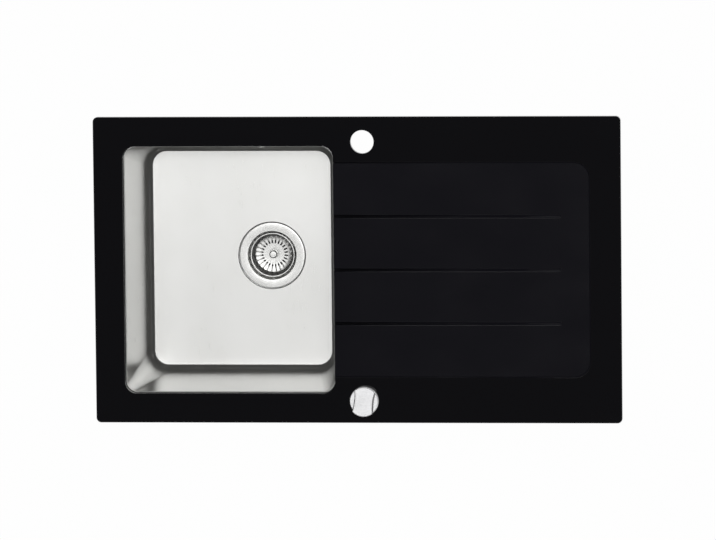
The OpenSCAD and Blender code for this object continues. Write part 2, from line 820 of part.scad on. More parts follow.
module shaft_seal() {
  ring_r = (shaft_seal_w - fit) / 2;
  ring_y = -boss_end + shaft_seal_gap + 0.625 * shaft_seal_w;
  color([0.08, 0.08, 0.08]) at_waste() translate([shaft_dx, ring_y, shaft_z]) {
    rotate([90, 0, 0]) rotate_extrude() translate([shaft_r + fit / 2 + ring_r, 0]) circle(r = ring_r);
  }
}

module crank_lever() {
  color([0.25, 0.25, 0.26]) at_waste() translate([shaft_dx, 0, shaft_z]) rotate([0, swing, 0]) {
    difference() {
      union() {
        rod_y(lever_hub_r, lever_y - lever_t, lever_y);
        translate([-peg_r - peg_cap, lever_y - lever_t, -lever_l]) cube([2 * (peg_r + peg_cap), lever_t, lever_l]);
        translate([0, 0, -lever_l]) rod_y(peg_r + peg_cap, lever_y - lever_t, lever_y);
      }
      rod_y(shaft_r + fit / 2, lever_y - lever_t - over, lever_y + over);
    }
    translate([0, 0, -lever_l]) rod_y(peg_r, fork_y - fork_t - over, lever_y - lever_t / 2);
  }
}

module cable_fork() {
  slot_half = peg_r + fork_play;
  color([0.25, 0.25, 0.26]) at_waste() translate([fork_dx, wire_y, fork_z]) {
    difference() {
      translate([-fork_half, -fork_t / 2, -fork_half]) cube([2 * fork_half, fork_t, 2 * fork_half]);
      translate([-slot_half, -fork_t, -peg_r - peg_cap]) cube([2 * slot_half, 2 * fork_t, 3 * fork_half]);
    }
    rod_x(sheath_r, fork_half - fit, fork_half + fork_tail);
  }
}

module fork_wire() {
  color([0.75, 0.75, 0.75]) at_waste() translate([0, wire_y, fork_z]) {
    rod_x(wire_r, fork_dx + fork_half + fork_tail, bracket_dx + bracket_t + over);
  }
}

// Ferrule whose head seats at x = 0, with its narrow end through a wall and a bore for the wire
module ferrule(wall_t) {
  tail = wall_t + ferrule_tail;
  difference() {
    union() {
      rod_x(sheath_r, -tail, ferrule_l);
      rod_x(ferrule_head_r, 0, ferrule_l);
    }
    rod_x(ferrule_bore_r, -tail - over, ferrule_l - 1);
  }
}

// Forked spring plate that holds the ferrule from the wall's other side
module ferrule_clip(wall_t) {
  translate([-wall_t - 2 * fit - clip_t, 0, 0]) difference() {
    translate([0, -clip_half, -clip_r]) cube([clip_t, 2 * clip_half, 2 * clip_r]);
    rod_x(sheath_r, -over, clip_t + over);
    translate([-over, -sheath_r / 2, 0]) cube([clip_t + 2 * over, sheath_r, clip_r + over]);
  }
}

module at_waste_ferrule() {
  translate([waste_x + bracket_dx + bracket_t + fit, waste_y + wire_y, fork_z]) children();
}

module at_control_ferrule() {
  translate([knob_x + rack_wire_x, knob_y + box_back + fit, rack_wire_z]) rotate([0, 0, 90]) children();
}

module cable_ferrules() {
  color([0.8, 0.8, 0.8]) {
    at_waste_ferrule() ferrule(bracket_t);
    at_control_ferrule() ferrule(box_wall);
  }
}

module ferrule_clips() {
  color([0.6, 0.6, 0.62]) {
    at_waste_ferrule() ferrule_clip(bracket_t);
    at_control_ferrule() ferrule_clip(box_wall);
  }
}

// Point and direction on a smooth curve through the route's points
function route_at(p, i) = p[min(max(i, 0), len(p) - 1)];
function curve_point(a, b, c, d, t) =
  0.5 * (2 * b + (c - a) * t + (2 * a - 5 * b + 4 * c - d) * t * t + (3 * b - a - 3 * c + d) * t * t * t);
function smooth_route(p, steps) = [
  for (i = [0 : len(p) - 2], k = [0 : steps - 1])
    curve_point(route_at(p, i - 1), p[i], p[i + 1], route_at(p, i + 2), k / steps),
  p[len(p) - 1]
];
function unit(v) = v / norm(v);
function ring_points(path, i, r, sides) =
  let (
    dir = unit(route_at(path, i + 1) - route_at(path, i - 1)),
    side = unit(cross(dir, [1, 1, 1])),
    up = cross(dir, side)
  )
  [for (k = [0 : sides - 1]) path[i] + r * (cos(360 * k / sides) * side + sin(360 * k / sides) * up)];

// Round cord along a list of points, closed at both ends
module cord(path, r, sides) {
  rings = len(path);
  points = [for (i = [0 : rings - 1]) each ring_points(path, i, r, sides)];
  flank = [
    for (i = [0 : rings - 2], k = [0 : sides - 1])
      each [
        [i * sides + k, (i + 1) * sides + k, (i + 1) * sides + (k + 1) % sides],
        [i * sides + k, (i + 1) * sides + (k + 1) % sides, i * sides + (k + 1) % sides]
      ]
  ];
  first = [for (k = [0 : sides - 1]) k];
  last = [for (k = [sides - 1 : -1 : 0]) (rings - 1) * sides + k];
  polyhedron(points, concat(flank, [first, last]));
}

module cable_sheath() {
  color([0.1, 0.1, 0.1]) cord(smooth_route(CABLE_ROUTE, cable_steps), sheath_r, cable_sides);
}

// Overflow on the back wall: cover inside the bowl, elbow and hose outside it
module overflow_cover() {
  holes = 6;
  color([0.82, 0.82, 0.82]) at_overflow() difference() {
    translate([0, 0, cover_z]) {
      cylinder(r = cover_r, h = cover_t);
      translate([0, 0, cover_t]) cylinder(r1 = cover_r, r2 = cover_r - cover_bevel, h = cover_bevel);
    }
    for (k = [0 : holes - 1]) {
      rotate([0, 0, 360 * k / holes]) translate([0.7 * overflow_r, 0, -over]) {
        cylinder(r = cover_hole_r, h = 4 * over);
      }
    }
    translate([0, 0, -over]) cylinder(r = cover_screw_r + fit, h = 4 * over);
  }
}

module overflow_screw() {
  head_z = cover_z + cover_t + cover_bevel;
  slot_t = 0.2 * cover_head_r;
  tip_z = -spigot_in / 2;
  color([0.75, 0.75, 0.75]) at_overflow() {
    difference() {
      translate([0, 0, head_z]) cylinder(r1 = cover_head_r, r2 = 0.8 * cover_head_r, h = cover_head_t);
      translate([-cover_head_r, -slot_t / 2, head_z + cover_head_t - slot_depth]) {
        cube([2 * cover_head_r, slot_t, over]);
      }
    }
    translate([0, 0, tip_z]) cylinder(r = cover_screw_r, h = head_z + cover_head_t / 4 - tip_z);
  }
}

module overflow_gasket() {
  color([0.08, 0.08, 0.08]) at_overflow() {
    translate([0, 0, -sheet_t - fit - elbow_gasket_t]) tube(elbow_flange_r, overflow_r, elbow_gasket_t);
  }
}

module overflow_elbow() {
  post_r = 2 * cover_screw_r;
  color([0.2, 0.2, 0.21]) at_overflow() difference() {
    union() {
      translate([0, 0, elbow_back_z]) cylinder(r = elbow_flange_r, h = elbow_flange_t);
      translate([0, 0, -spigot_in]) cylinder(r = elbow_r + elbow_wall, h = spigot_in + elbow_back_z + elbow_flange_t);
      translate([0, 0, -spigot_in]) sphere(r = elbow_r + elbow_wall);
      translate([0, 0, -spigot_in]) rod_y(barb_r, -hose_top - barb_l, 0);
    }
    difference() {
      union() {
        translate([0, 0, -spigot_in]) cylinder(r = elbow_r, h = spigot_in);
        translate([0, 0, -spigot_in]) rod_y(barb_bore_r, -hose_top - barb_l - over, 0);
      }
      translate([0, 0, -spigot_in + elbow_wall]) cylinder(r = post_r, h = spigot_in + elbow_back_z - elbow_wall);
      translate([-nut_bar_w / 2, -elbow_r - over, elbow_back_z - elbow_flange_t]) {
        cube([nut_bar_w, 2 * (elbow_r + over), elbow_flange_t]);
      }
    }
    translate([0, 0, -spigot_in + 2 * elbow_wall]) cylinder(r = cover_screw_r, h = spigot_in + over);
  }
}

module at_hose_top() {
  at_overflow() translate([0, 0, -spigot_in]) children();
}

module at_hose_bend() {
  translate([waste_x, hose_flat_y, port_z + hose_bend]) {
    rotate([90, 0, -90]) rotate([0, 0, wall_tilt - 180]) children();
  }
}

module hose_run(r, extra) {
  at_hose_top() rod_y(r, -hose_drop, -hose_top + extra);
  at_hose_bend() rotate_extrude(angle = hose_bend_angle) translate([hose_bend, 0]) circle(r = r);
  translate([waste_x, 0, port_z]) rod_y(r, waste_y + hose_end - extra, hose_flat_y);
}

// Ribs of the corrugated hose, with a plain cuff left at each end
module hose_ribs() {
  cuff = 2 * hose_r;
  drop_ribs = floor((hose_drop - hose_top - cuff) / rib_pitch);
  bend_ribs = floor(hose_bend * hose_bend_angle / 180 * PI / rib_pitch);
  flat_ribs = floor((hose_flat_y - waste_y - hose_end - cuff) / rib_pitch);
  for (k = [0 : drop_ribs]) {
    at_hose_top() translate([0, -hose_drop + k * rib_pitch, 0]) rod_y(hose_r, -rib_w / 2, rib_w / 2);
  }
  for (k = [1 : bend_ribs - 1]) {
    at_hose_bend() rotate([0, 0, k * hose_bend_angle / bend_ribs]) translate([hose_bend, 0, 0]) {
      rod_y(hose_r, -rib_w / 2, rib_w / 2);
    }
  }
  for (k = [0 : flat_ribs]) {
    translate([waste_x, hose_flat_y - k * rib_pitch, port_z]) rod_y(hose_r, -rib_w / 2, rib_w / 2);
  }
}

module overflow_hose() {
  color([0.85, 0.85, 0.84]) difference() {
    union() {
      hose_run(hose_root_r, 0);
      hose_ribs();
    }
    hose_run(hose_in_r, over);
  }
}

// Band clip with its screw lug on one side
module hose_clip() {
  difference() {
    union() {
      rod_x(hose_root_r + hose_clip_t, 0, hose_clip_w);
      translate([0, -hose_lug_w / 2, hose_root_r]) cube([hose_clip_w, hose_lug_w, hose_lug_h]);
    }
    rod_x(hose_root_r, -over, hose_clip_w + over);
  }
}

module hose_clips() {
  color([0.75, 0.75, 0.76]) {
    at_hose_top() translate([0, -hose_top - hose_clip_gap, 0]) rotate([180, 0, -90]) hose_clip();
    translate([waste_x, waste_y + hose_end + hose_clip_gap, port_z]) rotate([180, 0, 90]) hose_clip();
  }
}

// Control under the glass: housing clamped by the rosette, rack and pinion inside
module control_housing() {
  inner_right = box_right - box_side;
  inner_h = box_h - box_roof;
  color([0.2, 0.2, 0.21]) at_knob() difference() {
    union() {
      difference() {
        translate([-box_left, -box_front, box_z]) cube([box_left + box_right, box_front + box_back, box_h]);
        translate([-box_left + box_wall, -box_front + box_wall, box_z - over]) {
          cube([box_left - box_wall + inner_right, box_front + box_back - 2 * box_wall, inner_h + over]);
        }
      }
      translate([0, 0, box_top_z]) cylinder(r = neck_r, h = rosette_z + rosette_h - box_top_z);
      translate([0, 0, box_top_z - box_roof]) cylinder(r = box_flange_r, h = box_roof);
      control_screw_places() cylinder(r = post_r, h = post_h);
    }
    translate([0, 0, box_z]) cylinder(r = spindle_r + fit, h = 2 * box_h);
    translate([rack_wire_x, 0, rack_wire_z]) rod_y(sheath_r + fit, box_back - box_wall - over, box_back + over);
    control_screw_places() translate([0, 0, -over]) cylinder(r = lid_screw_r, h = post_h + over);
  }
}

// Two screws up into posts in the corners of the box, left front and right back
module control_screw_places() {
  translate([-box_left + post_r, -box_front + post_r, box_z]) children();
  translate([box_right - post_r, box_back - post_r, box_z]) children();
}

module control_gasket() {
  color([0.08, 0.08, 0.08]) at_knob() translate([0, 0, box_top_z]) tube(box_flange_r, neck_r, control_gasket_t);
}

module control_cover() {
  color([0.22, 0.22, 0.23]) at_knob() difference() {
    union() {
      translate([-box_left, -box_front, box_z - lid_t]) cube([box_left + box_right, box_front + box_back, lid_t]);
      translate([rack_x + over, -box_front + box_wall + over, box_z - over]) {
        cube([rack_back_w - 2 * over, box_front + rack_back - box_wall - over, gear_z - 2 * fit - box_z + over]);
      }
      translate([0, 0, box_z - over]) cylinder(r = spindle_low_r + lid_t / 2, h = lid_boss_h + over);
    }
    translate([0, 0, box_z - spindle_tip]) cylinder(r = spindle_low_r + fit, h = box_h);
    control_screw_places() translate([0, 0, -lid_t - over]) cylinder(r = lid_hole_r, h = lid_t + 2 * over);
  }
}

module control_screws() {
  color([0.75, 0.75, 0.76]) at_knob() control_screw_places() difference() {
    union() {
      translate([0, 0, -lid_t - lid_head_t]) cylinder(r = lid_head_r, h = lid_head_t);
      translate([0, 0, -lid_t - over / 2]) cylinder(r = lid_screw_r, h = post_h + lid_t);
    }
    translate([0, 0, -lid_t - lid_head_t - over]) cylinder(r = lid_head_t * 0.75, h = over + lid_head_t / 2, $fn = 6);
  }
}

module rosette_washer() {
  color([0.08, 0.08, 0.08]) at_knob() translate([0, 0, top_z]) {
    tube(rosette_r - rosette_lap, neck_r, rosette_washer_t);
  }
}

module rosette() {
  color([0.85, 0.85, 0.86]) at_knob() difference() {
    translate([0, 0, rosette_z]) {
      cylinder(r = rosette_r, h = rosette_h - rosette_edge);
      translate([0, 0, rosette_h - rosette_edge]) {
        cylinder(r1 = rosette_r, r2 = rosette_r - rosette_edge, h = rosette_edge);
      }
    }
    translate([0, 0, rosette_z - over]) cylinder(r = neck_r, h = rosette_h + 2 * over);
  }
}

// Knob: round base with a raised grip across it, waisted by two wide arcs
module knob() {
  color([0.85, 0.85, 0.86]) at_knob() rotate([0, 0, -grip_turn]) translate([0, 0, knob_z]) difference() {
    union() {
      cylinder(r = knob_r, h = knob_h - knob_edge);
      translate([0, 0, knob_h - knob_edge]) cylinder(r1 = knob_r, r2 = knob_r - knob_edge, h = knob_edge);
    }
    for (side = [-1, 1]) {
      translate([side * (grip_w / 2 + grip_arc_r), 0, knob_base_h]) cylinder(r = grip_arc_r, h = knob_h);
    }
    translate([0, 0, -over]) cylinder(r = spindle_r, h = over + knob_h - spindle_cap);
  }
}

module spindle() {
  spindle_top = knob_z + knob_h - spindle_cap - over / 2;
  spindle_foot = box_z - spindle_tip + fit;
  color([0.7, 0.66, 0.5]) at_knob() {
    translate([0, 0, spindle_step_z]) cylinder(r = spindle_r, h = spindle_top - spindle_step_z);
    translate([0, 0, spindle_foot]) cylinder(r = spindle_low_r, h = spindle_step_z - spindle_foot + fit);
  }
}

// Straight-flanked teeth, thin enough to run freely in each other
module pinion() {
  tip_r = pinion_r + tooth_add;
  root_r = pinion_r - tooth_ded;
  root_half = tooth_half * tooth_foot;
  tip_half = tooth_half * tooth_tip;
  color([0.85, 0.84, 0.8]) at_knob() translate([0, 0, gear_z]) difference() {
    union() {
      cylinder(r = root_r, h = gear_h);
      for (k = [0 : pinion_teeth - 1]) {
        rotate([0, 0, 360 * k / pinion_teeth]) linear_extrude(gear_h) polygon([
          [root_r - tooth_root, -root_half], [tip_r, -tip_half], [tip_r, tip_half], [root_r - tooth_root, root_half]
        ]);
      }
    }
    translate([0, 0, -over]) cylinder(r = spindle_low_r + fit / 2, h = gear_h + 2 * over);
  }
}

module spindle_clip() {
  color([0.6, 0.6, 0.62]) at_knob() translate([0, 0, gear_z - clip_t - fit]) difference() {
    cylinder(r = spindle_low_r + 1.7 * clip_t, h = clip_t);
    translate([0, 0, -over]) cylinder(r = spindle_low_r, h = clip_t + 2 * over);
    translate([-spindle_low_r - 2 * clip_t, -clip_t, -over]) {
      cube([spindle_low_r + clip_t, 2 * clip_t, clip_t + 2 * over]);
    }
  }
}

module rack() {
  teeth = floor((rack_back - rack_front) / tooth_pitch);
  first = ceil(rack_front / tooth_pitch) - 0.5;
  tip_x = -tooth_add - tooth_ded + 2 * fit;
  color([0.85, 0.84, 0.8]) at_knob() translate([0, 0, gear_z]) {
    translate([rack_x, rack_front, 0]) cube([rack_back_w, rack_back - rack_front, gear_h]);
    for (k = [0 : teeth - 1]) {
      translate([rack_x, (first + k) * tooth_pitch, 0]) linear_extrude(gear_h) polygon([
        [fit, -tooth_half * tooth_foot], [tip_x, -tooth_half * tooth_tip],
        [tip_x, tooth_half * tooth_tip], [fit, tooth_half * tooth_foot]
      ]);
    }
  }
}

module rack_wire() {
  color([0.75, 0.75, 0.75]) at_knob() translate([rack_wire_x, 0, rack_wire_z]) {
    rod_y(wire_r, rack_back, rack_back + wire_reach);
  }
}

glass_top();
rim_seal();
bowl();
bowl_bond();
sound_pad();
clamp_studs();
clamp_nuts();
clamp_leg(0);  // clamp_leg_back_left
clamp_leg(1);  // clamp_leg_back_middle
clamp_leg(2);  // clamp_leg_back_right
clamp_leg(3);  // clamp_leg_front_left
clamp_leg(4);  // clamp_leg_front_middle
clamp_leg(5);  // clamp_leg_front_right
clamp_leg(6);  // clamp_leg_left
clamp_leg(7);  // clamp_leg_right
flange_gasket();
waste_flange();
waste_screw();
body_gasket();
waste_body();
basket();
basket_button();
basket_stem();
basket_seal();
lift_pin();
crank_shaft();
shaft_seal();
crank_lever();
cable_fork();
fork_wire();
cable_sheath();
cable_ferrules();
ferrule_clips();
overflow_cover();
overflow_screw();
overflow_gasket();
overflow_elbow();
overflow_hose();
hose_clips();
control_housing();
control_gasket();
control_cover();
control_screws();
rosette_washer();
rosette();
knob();
spindle();
pinion();
spindle_clip();
rack();
rack_wire();
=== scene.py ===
import math

import bmesh
import bpy
from mathutils import Matrix, Quaternion, Vector


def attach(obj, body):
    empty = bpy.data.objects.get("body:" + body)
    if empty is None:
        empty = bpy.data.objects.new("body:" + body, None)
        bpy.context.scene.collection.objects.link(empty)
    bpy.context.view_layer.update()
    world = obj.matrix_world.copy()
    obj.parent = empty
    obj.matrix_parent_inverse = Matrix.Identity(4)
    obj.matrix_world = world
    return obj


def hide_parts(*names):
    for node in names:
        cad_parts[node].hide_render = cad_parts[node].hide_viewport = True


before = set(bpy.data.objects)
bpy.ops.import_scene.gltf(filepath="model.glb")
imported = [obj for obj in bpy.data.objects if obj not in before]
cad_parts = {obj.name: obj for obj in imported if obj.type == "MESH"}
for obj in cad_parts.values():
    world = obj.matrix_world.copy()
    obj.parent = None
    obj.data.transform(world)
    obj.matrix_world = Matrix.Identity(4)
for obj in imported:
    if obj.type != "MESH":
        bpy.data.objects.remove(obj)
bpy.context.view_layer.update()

MM = 0.001


# Studio. A long lens looks down on the sink, a little from the right and the back, so that the
# bowl's left and front walls show. High soft boxes stand round a dark gap, which the glass mirrors.
# The sky below them is dark, for the bowl's rounded foot, and a pale horizon lights the sides.
scene = bpy.context.scene
scene.view_settings.view_transform = "Standard"
AIM = Vector((0.0016, 0.0002, 0.012))
DISTANCE = 12.0
VIEW_WIDTH = 1.1630
SENSOR = 36.0
LEAN_RIGHT, LEAN_BACK = math.radians(5.7), math.radians(5.8)
ROLL = math.radians(-0.58)
lean = Vector((math.tan(LEAN_RIGHT), math.tan(LEAN_BACK), 1)).normalized()
across = Matrix.Rotation(ROLL, 3, lean) @ Vector((0, 1, 0)).cross(lean).normalized()
camera_data = bpy.data.cameras.new("camera")
camera_data.sensor_width = SENSOR
camera_data.lens = SENSOR * DISTANCE / VIEW_WIDTH
camera = bpy.data.objects.new("camera", camera_data)
scene.collection.objects.link(camera)
turn = Matrix((across, lean.cross(across), lean)).transposed().to_4x4()
camera.matrix_world = Matrix.Translation(AIM + lean * DISTANCE) @ turn
scene.camera = camera

CEILING = 8.0
GAP_LEFT, GAP_RIGHT = -1.69, 0.10
GAP_FRONT, GAP_BACK = -1.42, -0.20
RING_LEFT, RING_RIGHT = -3.1, 3.3
RING_FRONT, RING_BACK = -3.1, 3.3


def soft_box(name, left, right, front, back, radiance):
    """An area lamp between these edges at the ceiling's height; its power gives the radiance."""
    width, depth = right - left, back - front
    lamp_data = bpy.data.lights.new(name, "AREA")
    lamp_data.shape = "RECTANGLE"
    lamp_data.size = width
    lamp_data.size_y = depth
    lamp_data.energy = radiance * math.pi * width * depth
    lamp = bpy.data.objects.new(name, lamp_data)
    scene.collection.objects.link(lamp)
    lamp.location = ((left + right) / 2, (front + back) / 2, CEILING)
    lamp.visible_camera = False


soft_box("box_left", RING_LEFT, GAP_LEFT, RING_FRONT, RING_BACK, 1.28)
soft_box("box_right", GAP_RIGHT, RING_RIGHT, RING_FRONT, GAP_BACK, 1.55)
soft_box("box_corner", GAP_RIGHT, RING_RIGHT, GAP_BACK, RING_BACK, 3.2)
soft_box("box_front", GAP_LEFT, GAP_RIGHT, RING_FRONT, GAP_FRONT, 1.28)
soft_box("box_back", GAP_LEFT, GAP_RIGHT, GAP_BACK, RING_BACK, 2.95)


def add(tree, kind, wires, **settings):
    """A shader node; wires gives each input a value or another node's output."""
    made = tree.nodes.new("ShaderNode" + kind)
    for name, value in settings.items():
        setattr(made, name, value)
    for socket, value in wires.items():
        if isinstance(value, bpy.types.NodeSocket):
            tree.links.new(value, made.inputs[socket])
        else:
            made.inputs[socket].default_value = value
    return made


# To the camera the sky is white. As a light it fades from the horizon to the zenith.
HORIZON_END, ZENITH_START = 0.18, 0.42
HORIZON_LIGHT, ZENITH_LIGHT = 0.4, 0.04
world = bpy.data.worlds.new("studio")
world.use_nodes = True
scene.world = world
sky = world.node_tree
sky.nodes.clear()
height = add(sky, "SeparateXYZ", {0: add(sky, "TexCoord", {}).outputs["Generated"]}).outputs["Z"]
fade = {"Value": height, 1: HORIZON_END, 2: ZENITH_START, 3: HORIZON_LIGHT, 4: ZENITH_LIGHT}
lit = add(sky, "MapRange", fade).outputs[0]
direct = add(sky, "LightPath", {}).outputs["Is Camera Ray"]
strength = add(sky, "Math", {0: lit, 1: direct}, operation="MAXIMUM").outputs[0]
background = add(sky, "Background", {"Color": (1, 1, 1, 1), "Strength": strength})
sky.links.new(background.outputs[0], add(sky, "OutputWorld", {}).inputs[0])

# The camera, metal and glass see the floor as an even white, with a little of its shaded paint.
FLOOR_AT = -0.3008
FLOOR_HALF = 9.0
FLOOR_WHITE = 0.985
floor_mesh = bmesh.new()
bmesh.ops.create_grid(floor_mesh, x_segments=2, y_segments=2, size=FLOOR_HALF)
bmesh.ops.translate(floor_mesh, vec=(0, 0, FLOOR_AT), verts=floor_mesh.verts)
floor_data = bpy.data.meshes.new("floor")
floor_mesh.to_mesh(floor_data)
floor_mesh.free()
floor = bpy.data.objects.new("floor", floor_data)
scene.collection.objects.link(floor)
floor_paint = bpy.data.materials.new("floor_paint")
floor_paint.use_nodes = True
tree = floor_paint.node_tree
tree.nodes.clear()
matt = add(tree, "BsdfDiffuse", {"Color": (0.84, 0.84, 0.84, 1)})
white = add(tree, "Emission", {"Color": (1, 1, 1, 1), "Strength": 1.0})
rays = add(tree, "LightPath", {}).outputs
mirrored = add(tree, "Math", {0: rays["Is Glossy Ray"], 1: rays["Is Transmission Ray"]}, operation="MAXIMUM")
seen = add(tree, "Math", {0: rays["Is Camera Ray"], 1: mirrored.outputs[0]}, operation="MAXIMUM")
share = add(tree, "Math", {0: seen.outputs[0], 1: FLOOR_WHITE}, operation="MULTIPLY")
paint = add(tree, "MixShader", {0: share.outputs[0], 1: matt.outputs[0], 2: white.outputs[0]})
tree.links.new(paint.outputs[0], add(tree, "OutputMaterial", {}).inputs[0])
floor_data.materials.append(floor_paint)


# Glass top. One sheet of toughened glass, black through and through, with a ground and polished
# edge. The drainer is cut in and polished, a shade duller than the flat surface, and its slopes and
# grooves are left matt from the grinding wheel. The drainer's brighter look is a painted sheen in
# the colour.
def finish(name, colour, metallic, roughness, **sockets):
    """A material with a Principled shader; sockets are further constants, by the shader's names."""
    material = bpy.data.materials.new(name)
    material.use_nodes = True
    shader = material.node_tree.nodes["Principled BSDF"]
    shader.inputs["Base Color"].default_value = (*colour, 1)
    shader.inputs["Metallic"].default_value = metallic
    shader.inputs["Roughness"].default_value = roughness
    for socket, value in sockets.items():
        shader.inputs[socket.replace("_", " ")].default_value = value
    return material


def grain(material, scale, detail=3.0):
    """Noise on Object coordinates; scale is grains per metre along x, y and z."""
    tree = material.node_tree
    place = add(tree, "TexCoord", {}).outputs["Object"]
    place = add(tree, "Mapping", {"Vector": place, "Scale": scale}).outputs[0]
    return add(tree, "TexNoise", {"Vector": place, "Scale": 1.0, "Detail": detail}).outputs[0]


def spread(material, value, low, high, start=0.3, end=0.7):
    """Takes a value from start..end to low..high."""
    return add(material.node_tree, "MapRange", {"Value": value, 1: start, 2: end, 3: low, 4: high}).outputs[0]


def mix(material, share, first, second):
    """Two colours, or outputs, mixed by a share of 0 to 1."""
    pair = [c if isinstance(c, bpy.types.NodeSocket) else (*c, 1) for c in (first, second)]
    return add(material.node_tree, "Mix", {0: share, 6: pair[0], 7: pair[1]}, data_type="RGBA").outputs[2]


def maths(material, first, second, operation="ADD"):
    """Two numbers, or outputs, put together by an operation."""
    return add(material.node_tree, "Math", {0: first, 1: second}, operation=operation).outputs[0]


def relief(material, height, depth):
    """Bump of this depth in metres."""
    return add(material.node_tree, "Bump", {"Height": height, "Distance": depth, "Strength": 1.0}).outputs[0]


def wire(material, **sockets):
    """Links outputs to the shader's sockets, by the shader's names."""
    shader = material.node_tree.nodes["Principled BSDF"]
    for socket, output in sockets.items():
        material.node_tree.links.new(output, shader.inputs[socket.replace("_", " ")])


def give(material, *nodes):
    """Gives CAD nodes their finish."""
    for name in nodes:
        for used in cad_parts[name].material_slots:
            used.material = material


def new_piece(name, mesh, material, body, slot, *nodes):
    """Makes a bmesh into a piece that rides on a body and stands for CAD nodes."""
    data = bpy.data.meshes.new(name)
    mesh.to_mesh(data)
    mesh.free()
    data.materials.append(material)
    piece = bpy.data.objects.new(name, data)
    scene.collection.objects.link(piece)
    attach(piece, body)
    if nodes:
        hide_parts(*nodes)
    return piece


WELD = 2e-6


def merged_copy(node):
    """A copy of a CAD node's mesh with its loose triangles joined."""
    mesh = bmesh.new()
    mesh.from_mesh(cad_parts[node].data)
    bmesh.ops.remove_doubles(mesh, verts=mesh.verts, dist=WELD)
    for face in mesh.faces:
        face.material_index = 0
    return mesh


def smooth(piece, angle):
    """Smooth shading, with a crease wherever faces meet at more than this angle."""
    piece.data.shade_smooth()
    piece.data.set_sharp_from_angle(angle=math.radians(angle))


black_glass = finish("black_glass", (0.0035, 0.0035, 0.0048), 0.0, 0.03, IOR=1.52)
place = add(black_glass.node_tree, "TexCoord", {}).outputs["Object"]
place = add(black_glass.node_tree, "SeparateXYZ", {0: place}).outputs
GLASS_TOP = 12 * MM
RECESS_Z = 10.5 * MM
recess = spread(black_glass, place["Z"], 1.0, 0.0, RECESS_Z + 0.2 * MM, RECESS_Z + 0.8 * MM)
groove_end = spread(black_glass, place["Z"], 0.0, 1.0, RECESS_Z - 0.2 * MM, RECESS_Z - 0.05 * MM)
slope_start = spread(black_glass, place["Z"], 1.0, 0.0, RECESS_Z + 0.05 * MM, RECESS_Z + 0.2 * MM)
slope_end = spread(black_glass, place["Z"], 0.0, 1.0, GLASS_TOP - 0.3 * MM, GLASS_TOP - 0.05 * MM)
polished = maths(black_glass, slope_start, slope_end, "MAXIMUM")
polished = maths(black_glass, polished, groove_end, "MULTIPLY")
ground = maths(black_glass, 1.0, polished, "SUBTRACT")
RECESS_LEFT, RECESS_RIGHT, RECESS_HALF = -37 * MM, 381 * MM, 177 * MM
aside = maths(black_glass, place["Y"], 0.0, "ABSOLUTE")
for where, limit, test in (
    (place["X"], RECESS_LEFT, "GREATER_THAN"),
    (place["X"], RECESS_RIGHT, "LESS_THAN"),
    (aside, RECESS_HALF, "LESS_THAN"),
):
    ground = maths(black_glass, ground, maths(black_glass, where, limit, test), "MULTIPLY")
smear = grain(black_glass, (9, 14, 9))
duller = maths(black_glass, recess, spread(black_glass, smear, 0.03, 0.045), "MULTIPLY")
ripple = grain(black_glass, (22, 22, 22), 1.0)
# Painted sheen: colour is lighter at and below the drainer's floor, also on the edge and underside.
wire(
    black_glass,
    Base_Color=mix(black_glass, recess, (0.0085, 0.0082, 0.0102), (0.0130, 0.0125, 0.0170)),
    Specular_IOR_Level=spread(black_glass, ground, 0.5, 0.06),
    Roughness=maths(black_glass, duller, spread(black_glass, smear, 0.02, 0.035)),
    Normal=relief(black_glass, ripple, 0.00002),
)


def weigh(piece):
    """Flat faces keep their own normals beside rounded ones."""
    flats = piece.modifiers.new("flats", "WEIGHTED_NORMAL")
    flats.keep_sharp = True


FLAT_WITHIN = math.radians(0.3)
glass_mesh = merged_copy("glass_top")
bmesh.ops.dissolve_limit(glass_mesh, angle_limit=FLAT_WITHIN, verts=glass_mesh.verts, edges=glass_mesh.edges)
glass = new_piece("glass_sheet", glass_mesh, black_glass, "root", "black_glass", "glass_top")
smooth(glass, 30)
weigh(glass)


# Bowl. Pressed from one stainless sheet, 1 mm thick, with drafted walls, a rounded foot that eases
# into the floor, a sunk seat for the strainer and a flat flange that is glued under the glass. It is
# satin brushed.
BOWL_X = -210 * MM
BOWL_L = 340 * MM
BOWL_W = 400 * MM
BOWL_R = 19 * MM
BOWL_FLOOR = -189 * MM
FLOOR_R = 20 * MM
FOOT_W = 14 * MM
FOOT_H = 20 * MM
FOOT_END = math.radians(75.7)
FOOT_STEPS = 12
EASE_W = 12 * MM
EASE_RISE = 0.22 * MM
EASE_STEPS = 3
DRAFT = 12 * MM
RIM_R = 1.2 * MM
RIM_STEPS = 4
FLANGE = 17 * MM
FLANGE_R = 34 * MM
SHEET = 1.0 * MM
SEAT_R = 55.5 * MM
SEAT_DROP = 3 * MM
HOLE_R = 44 * MM
WASTE_X = -161 * MM
WASTE_Y = 4 * MM
WALL_TILT = math.radians(3.91)
CORNER_STEPS = 12


def circle(mesh, radius):
    """Points of a circle, turned by half a step so that none lies on an axis."""
    made = bmesh.ops.create_circle(mesh, segments=4 * CORNER_STEPS, radius=radius)["verts"]
    half_step = Matrix.Rotation(math.pi / 4 / CORNER_STEPS, 3, "Z")
    bmesh.ops.rotate(mesh, verts=made, cent=(0, 0, 0), matrix=half_step)
    return made


def rounded_ring(mesh, offset, radius, height):
    """The opening's outline grown by an offset: a circle whose four quarters are moved apart."""
    made = circle(mesh, radius)
    for vert in made:
        vert.co.x += math.copysign(BOWL_L / 2 + offset - radius, vert.co.x) + BOWL_X
        vert.co.y += math.copysign(BOWL_W / 2 + offset - radius, vert.co.y)
        vert.co.z = height
    return made


def round_ring(mesh, radius, height):
    """Circle on the waste's axis, with the same number of points."""
    made = circle(mesh, radius)
    bmesh.ops.translate(mesh, verts=made, vec=(WASTE_X, WASTE_Y, height))
    return made


